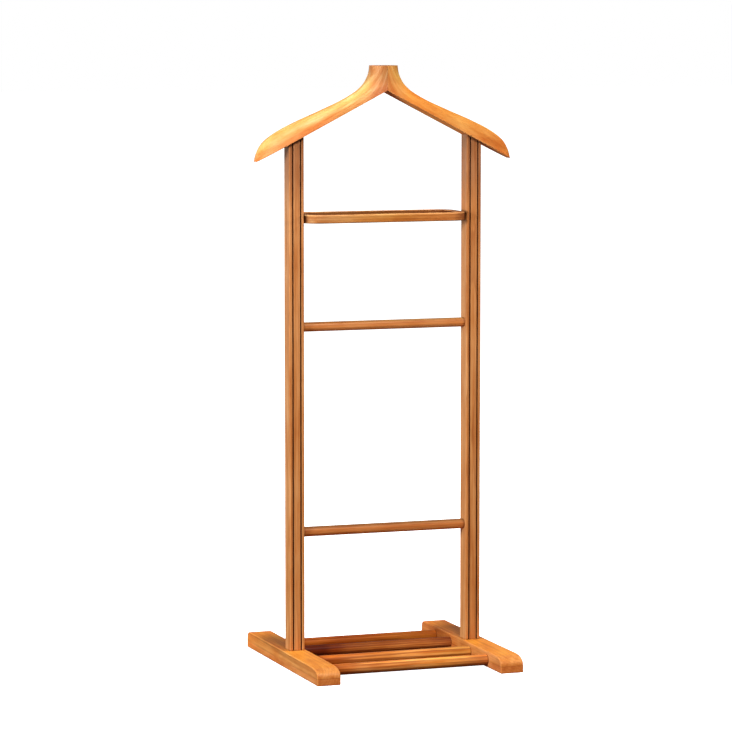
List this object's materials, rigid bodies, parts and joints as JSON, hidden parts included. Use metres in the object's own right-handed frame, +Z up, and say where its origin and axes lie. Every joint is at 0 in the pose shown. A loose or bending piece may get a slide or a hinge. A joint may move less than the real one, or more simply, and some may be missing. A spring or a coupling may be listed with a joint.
{
  "type": "valet stand",
  "caption": "Varnished wooden valet stand: a coat hanger on fluted posts, with a pocket tray, trouser bars and a shoe rail base.",
  "frame": {"origin": "centre of the footprint, on the floor", "axes": "+X to the right as seen from the front, +Y to the rear, +Z up"},
  "size_m": [0.4856, 0.403, 1.0745],
  "materials": {
    "foot_wood": "satin varnish, honey orange",
    "rail_wood": "satin varnish, honey orange",
    "post_wood": "satin varnish, honey orange with reddish streaks",
    "bar_wood": "satin varnish, honey orange",
    "tray_wood": "satin varnish, honey orange",
    "hanger_wood": "satin varnish, golden honey",
    "dowel_wood": "bare beech",
    "screw_steel": "zinc plated"
  },
  "bodies": {
    "root": {"left_foot": "foot_wood", "right_foot": "foot_wood", "base_rail_front": "rail_wood", "base_rail_mid_front": "rail_wood", "base_rail_mid_rear": "rail_wood", "base_rail_rear": "rail_wood", "left_post": "post_wood", "right_post": "post_wood", "trouser_bar_upper": "bar_wood", "trouser_bar_lower": "bar_wood", "tray": "tray_wood", "hanger_left_arm": "hanger_wood", "hanger_right_arm": "hanger_wood", "neck_dowel_lower": "dowel_wood", "neck_dowel_upper": "dowel_wood", "arm_dowel_left": "dowel_wood", "arm_dowel_right": "dowel_wood", "tray_dowel_left": "dowel_wood", "tray_dowel_right": "dowel_wood", "foot_dowel_left_inner": "dowel_wood", "foot_dowel_left_outer": "dowel_wood", "foot_dowel_right_inner": "dowel_wood", "foot_dowel_right_outer": "dowel_wood", "foot_screw_left": "screw_steel", "foot_screw_right": "screw_steel"}
  },
  "joints": []
}
